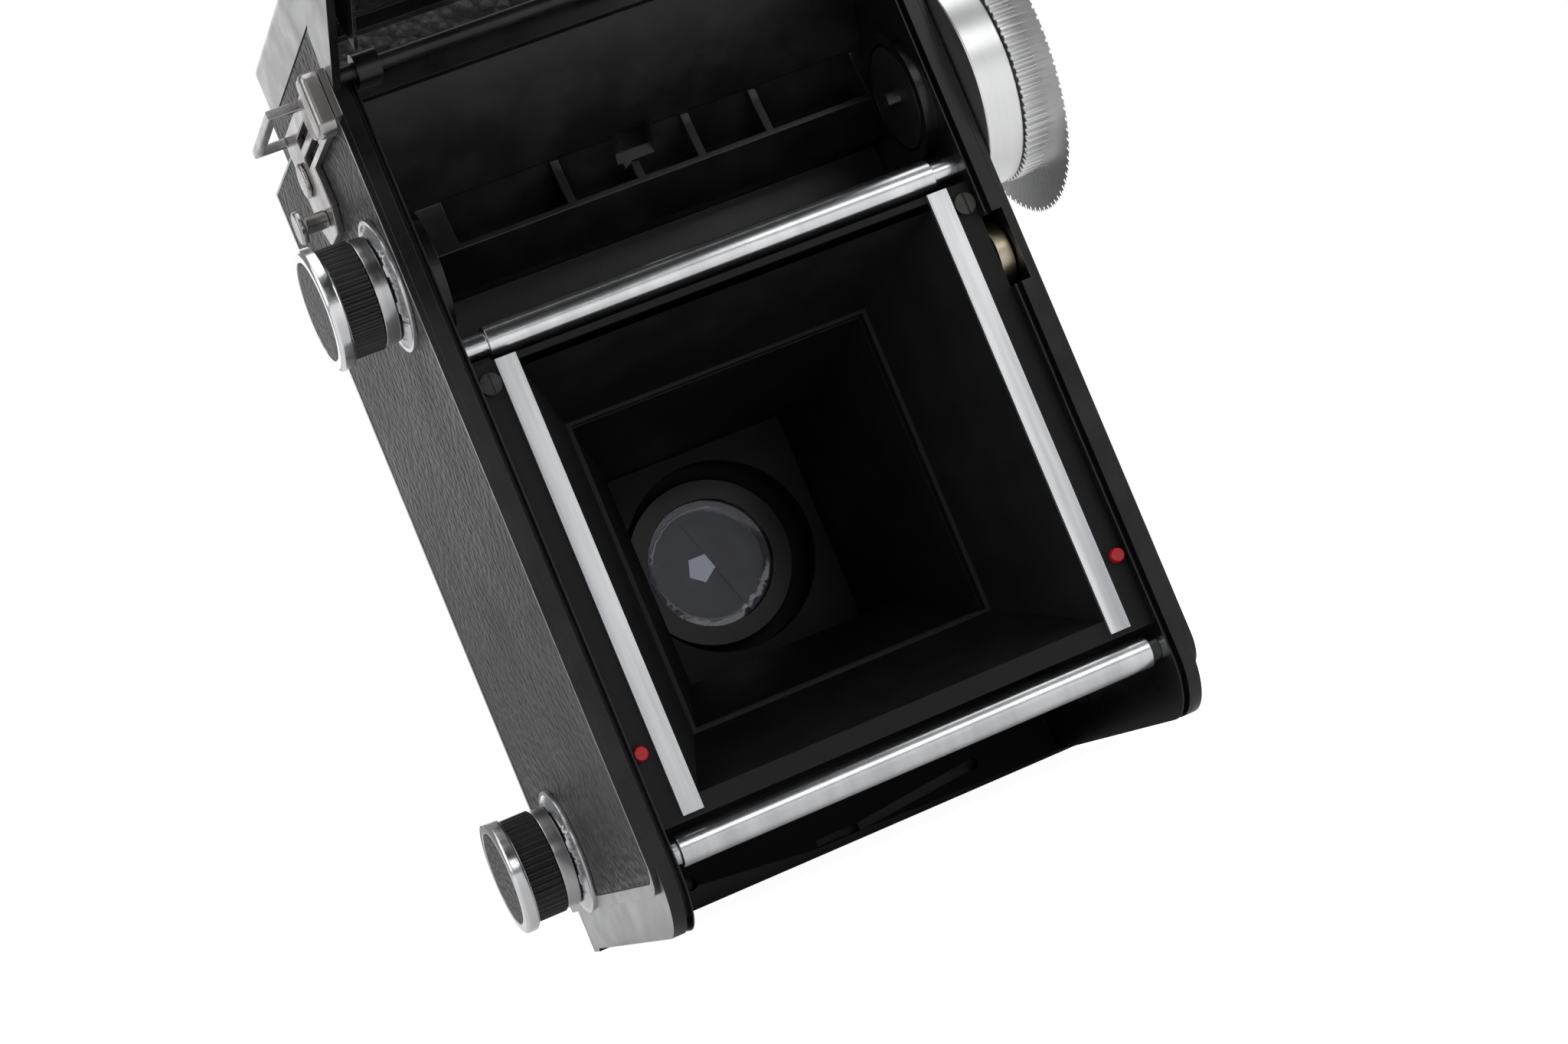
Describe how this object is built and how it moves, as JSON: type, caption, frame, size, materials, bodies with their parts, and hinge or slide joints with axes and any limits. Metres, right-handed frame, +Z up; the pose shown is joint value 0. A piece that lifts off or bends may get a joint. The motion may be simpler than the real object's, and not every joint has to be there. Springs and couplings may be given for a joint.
{
  "type": "twin lens reflex camera",
  "caption": "Medium-format twin lens reflex camera with an open hinged back, folded waist-level hood, focusing lens board, winding knob and spool knobs",
  "frame": {"origin": "centre of the film gate, in the plane of the film rails", "axes": "+X to the right seen from behind, +Y forward along the lens axes, +Z up"},
  "size_m": [0.0944, 0.2134, 0.1578],
  "materials": {
    "black_enamel": "gloss",
    "matte_black": "matt",
    "satin_alloy": "satin",
    "chrome": "polished",
    "satin_chrome": "satin",
    "rail_steel": "brushed",
    "black_leather": "pebbled",
    "black_grip": "satin",
    "lens_glass": "coated",
    "ground_glass": "ground",
    "mirror": "silvered",
    "brass": "worn",
    "red_enamel": "gloss"
  },
  "bodies": {
    "camera_body": {"body_casting": "black_enamel", "gate_chamber": "matte_black", "film_rails": "rail_steel", "gate_screws": "matte_black", "start_marks": "red_enamel", "mirror_cradle": "matte_black", "viewing_mirror": "mirror", "side_plate_left": "satin_alloy", "side_plate_right": "satin_alloy", "side_leather_left": "black_leather", "side_leather_right": "black_leather", "hood_base": "black_leather", "focusing_screen": "ground_glass", "hood_flap_left": "black_enamel", "hood_flap_right": "black_enamel", "upper_knob_flange": "chrome", "lower_knob_flange": "chrome", "strap_bracket_left": "satin_alloy", "strap_bracket_right": "satin_alloy", "bracket_fasteners": "chrome", "hinge_pin": "rail_steel"},
    "door": {"film_door": "black_enamel", "door_base": "black_enamel", "door_leather": "black_leather", "plate_springs": "rail_steel", "tripod_bush": "rail_steel"},
    "press": {"pressure_plate": "black_enamel"},
    "latch": {"latch_ring": "satin_chrome"},
    "bolt": {"latch_bolt": "rail_steel"},
    "catch": {"hinge_catch": "satin_chrome"},
    "roller_up": {"upper_roller": "chrome"},
    "roller_low": {"lower_roller": "chrome"},
    "feeler": {"feeler_wheel": "brass"},
    "winder": {"wind_knob": "satin_chrome", "takeup_key": "black_enamel"},
    "pull_up": {"upper_knob_sleeve": "satin_chrome"},
    "knob_up": {"upper_knob_grip": "black_grip", "upper_knob_cap": "chrome"},
    "pull_low": {"lower_knob_sleeve": "satin_chrome"},
    "knob_low": {"lower_knob_grip": "black_grip", "lower_knob_cap": "chrome"},
    "button": {"release_button": "chrome"},
    "lid": {"hood_lid": "satin_alloy"},
    "magnifier": {"magnifier_frame": "black_enamel", "magnifier_lens": "lens_glass"},
    "rear_flap": {"hood_flap_rear": "black_enamel"},
    "board": {"lens_board": "satin_alloy", "rear_lens_ring": "black_enamel", "rear_lens": "lens_glass", "shutter_housing": "black_enamel", "iris_blades": "matte_black", "taking_barrel": "satin_chrome", "taking_lens": "lens_glass", "viewing_barrel": "satin_chrome", "viewing_lens": "lens_glass", "sync_socket": "chrome"},
    "focus": {"focus_lever": "satin_alloy"},
    "speeds": {"speed_ring": "chrome"},
    "stops": {"aperture_lever": "chrome"},
    "cocking": {"cocking_lever": "chrome"}
  },
  "joints": [
    {"name": "door_hinge", "type": "hinge", "parent": "camera_body", "child": "door", "pos_m": [0, -0.0032, 0.0682], "axis": [1, 0, 0], "range_deg": [0, 112.5]},
    {"name": "press_slide", "type": "slide", "parent": "door", "child": "press", "axis": [0, 0.3827, 0.9239], "range_m": [0, 0.001], "stiffness_N_per_m": 400},
    {"name": "latch_turn", "type": "hinge", "parent": "door", "child": "latch", "pos_m": [0, -0.11931, 0.08577], "axis": [0, -0.9239, 0.3827], "range_deg": [0, 90]},
    {"name": "bolt_slide", "type": "slide", "parent": "door", "child": "bolt", "axis": [0, -0.3827, -0.9239], "range_m": [0, 0.003]},
    {"name": "catch_slide", "type": "slide", "parent": "camera_body", "child": "catch", "axis": [0, 0, 1], "range_m": [0, 0.0015]},
    {"name": "upper_roller_spin", "type": "hinge", "parent": "camera_body", "child": "roller_up", "pos_m": [0, 0.003, 0.0324], "axis": [1, 0, 0], "continuous": true},
    {"name": "lower_roller_spin", "type": "hinge", "parent": "camera_body", "child": "roller_low", "pos_m": [0, 0.003, -0.0335], "axis": [1, 0, 0], "continuous": true},
    {"name": "feeler_spin", "type": "hinge", "parent": "camera_body", "child": "feeler", "pos_m": [0.0354, 0.0049, 0.0202], "axis": [1, 0, 0], "continuous": true},
    {"name": "wind_turn", "type": "hinge", "parent": "camera_body", "child": "winder", "pos_m": [0.044, 0.0087, 0.0441], "axis": [1, 0, 0], "continuous": true},
    {"name": "upper_pull", "type": "slide", "parent": "camera_body", "child": "pull_up", "axis": [-1, 0, 0], "range_m": [0, 0.006]},
    {"name": "upper_knob_turn", "type": "hinge", "parent": "pull_up", "child": "knob_up", "pos_m": [-0.043, 0.0087, 0.0441], "axis": [1, 0, 0], "continuous": true},
    {"name": "lower_pull", "type": "slide", "parent": "camera_body", "child": "pull_low", "axis": [-1, 0, 0], "range_m": [0, 0.006]},
    {"name": "lower_knob_turn", "type": "hinge", "parent": "pull_low", "child": "knob_low", "pos_m": [-0.043, 0.0434, -0.0292], "axis": [1, 0, 0], "continuous": true},
    {"name": "release_press", "type": "slide", "parent": "camera_body", "child": "button", "axis": [0, -1, 0], "range_m": [0, 0.0025], "stiffness_N_per_m": 300},
    {"name": "lid_hinge", "type": "hinge", "parent": "camera_body", "child": "lid", "pos_m": [0, 0.0601, 0.0786], "axis": [1, 0, 0], "range_deg": [-95, 0]},
    {"name": "magnifier_level", "type": "hinge", "parent": "lid", "child": "magnifier", "pos_m": [0, 0.036, 0.083], "axis": [1, 0, 0], "range_deg": [0, 95]},
    {"name": "rear_flap_hinge", "type": "hinge", "parent": "camera_body", "child": "rear_flap", "pos_m": [0, 0.0052, 0.0791], "axis": [1, 0, 0], "range_deg": [0, 95]},
    {"name": "focus_slide", "type": "slide", "parent": "camera_body", "child": "board", "axis": [0, 1, 0], "range_m": [0, 0.006]},
    {"name": "focus_turn", "type": "hinge", "parent": "board", "child": "focus", "pos_m": [0, 0.07, 0], "axis": [0, 1, 0], "range_deg": [0, 80]},
    {"name": "speed_turn", "type": "hinge", "parent": "board", "child": "speeds", "pos_m": [0, 0.078, 0], "axis": [0, 1, 0], "range_deg": [0, 150]},
    {"name": "aperture_turn", "type": "hinge", "parent": "board", "child": "stops", "pos_m": [0, 0.074, 0], "axis": [0, 1, 0], "range_deg": [-50, 0]},
    {"name": "cocking_turn", "type": "hinge", "parent": "board", "child": "cocking", "pos_m": [0, 0.0758, 0], "axis": [0, 1, 0], "range_deg": [0, 60], "stiffness_Nm_per_rad": 0.02}
  ],
  "couplings": [
    {"joint": "bolt_slide", "follows": "latch_turn", "m_per_rad": 0.0019099},
    {"joint": "magnifier_level", "follows": "lid_hinge", "ratio": -1},
    {"joint": "rear_flap_hinge", "follows": "lid_hinge", "ratio": -1},
    {"joint": "focus_turn", "follows": "focus_slide", "rad_per_m": 232.71}
  ]
}
